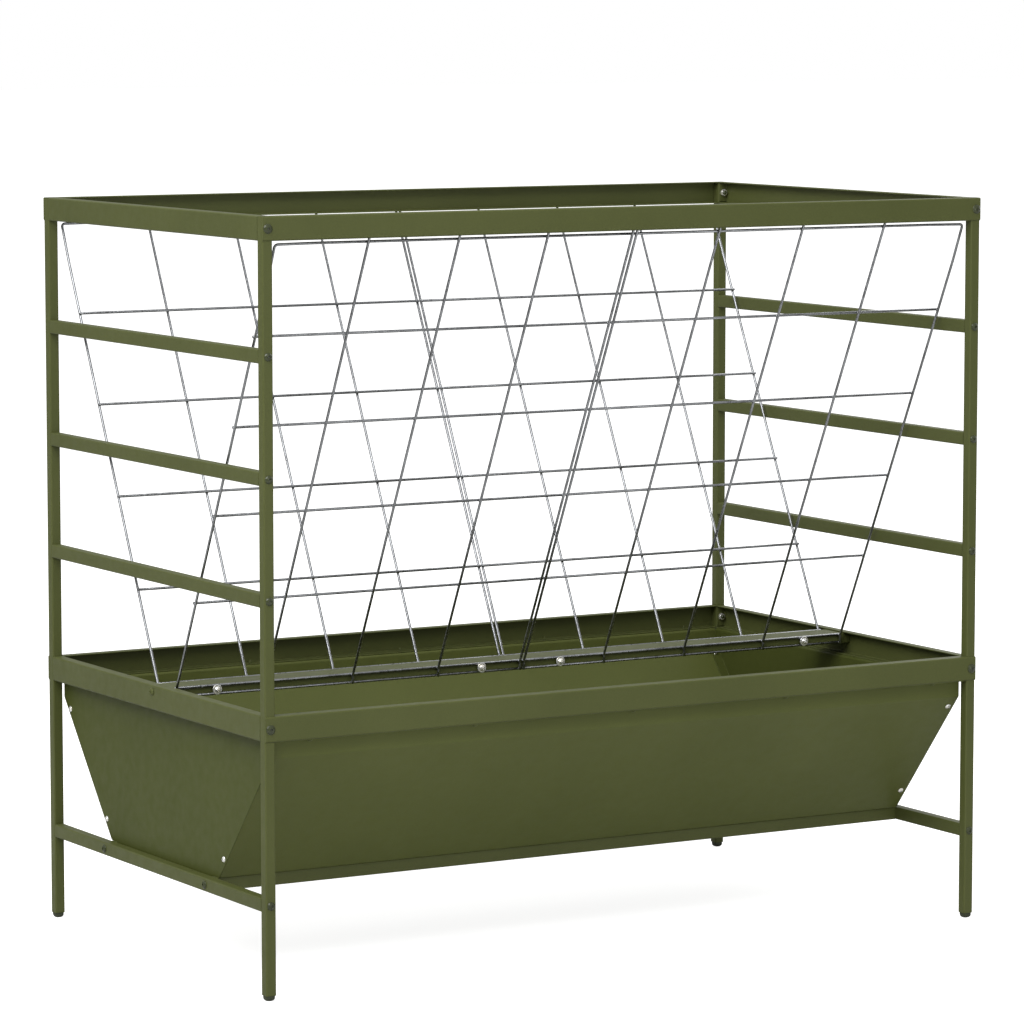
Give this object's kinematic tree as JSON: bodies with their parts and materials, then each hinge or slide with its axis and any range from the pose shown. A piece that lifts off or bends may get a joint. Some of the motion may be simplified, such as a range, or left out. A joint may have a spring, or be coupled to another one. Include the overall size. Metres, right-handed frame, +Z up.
{
  "type": "hay rack feeder",
  "caption": "Free-standing feeder for small livestock: a V-shaped hay rack of welded wire mesh above a sheet metal trough, in a bolted frame of square tube.",
  "frame": {"origin": "on the floor, below the middle of the feeder", "axes": "+X along the feeder, to the right seen from the front; +Y from front to rear; +Z up"},
  "size_m": [1.237, 0.737, 1.115],
  "materials": {
    "powder_coat": "olive green powder coat, satin",
    "galvanised_wire": "galvanised, dull",
    "zinc_fastener": "zinc plated, bright",
    "painted_fastener": "olive green, dark",
    "dark_plastic": "moulded, very dark olive"
  },
  "bodies": {
    "root": {"leg_front_left": "powder_coat", "leg_front_right": "powder_coat", "leg_rear_left": "powder_coat", "leg_rear_right": "powder_coat", "foot_cap_front_left": "dark_plastic", "foot_cap_front_right": "dark_plastic", "foot_cap_rear_left": "dark_plastic", "foot_cap_rear_right": "dark_plastic", "leg_top_plugs": "dark_plastic", "top_band_front": "powder_coat", "top_band_rear": "powder_coat", "top_band_left": "powder_coat", "top_band_right": "powder_coat", "rim_band_front": "powder_coat", "rim_band_rear": "powder_coat", "rim_band_left": "powder_coat", "rim_band_right": "powder_coat", "side_rail_left_upper": "powder_coat", "side_rail_left_middle": "powder_coat", "side_rail_left_lower": "powder_coat", "side_rail_right_upper": "powder_coat", "side_rail_right_middle": "powder_coat", "side_rail_right_lower": "powder_coat", "low_rail_left": "powder_coat", "low_rail_right": "powder_coat", "bearer_front": "powder_coat", "bearer_rear": "powder_coat", "trough_front_panel": "powder_coat", "trough_rear_panel": "powder_coat", "trough_end_left": "powder_coat", "trough_end_right": "powder_coat", "trough_floor": "powder_coat", "rack_channel": "powder_coat", "mesh_front_left": "galvanised_wire", "mesh_front_right": "galvanised_wire", "mesh_rear_left": "galvanised_wire", "mesh_rear_right": "galvanised_wire", "top_corner_bolts": "painted_fastener", "top_corner_nuts": "zinc_fastener", "rim_corner_bolts": "painted_fastener", "rim_corner_nuts": "zinc_fastener", "side_rail_bolts": "painted_fastener", "side_rail_inserts": "dark_plastic", "low_rail_bolts": "painted_fastener", "low_rail_inserts": "dark_plastic", "bearer_bolts": "painted_fastener", "bearer_inserts": "dark_plastic", "channel_bolts": "powder_coat", "channel_nuts": "zinc_fastener", "mesh_bolts": "zinc_fastener", "mesh_washers": "zinc_fastener", "mesh_nuts": "zinc_fastener", "flange_screws": "powder_coat", "corner_screws": "zinc_fastener", "floor_screws": "zinc_fastener"}
  },
  "joints": []
}
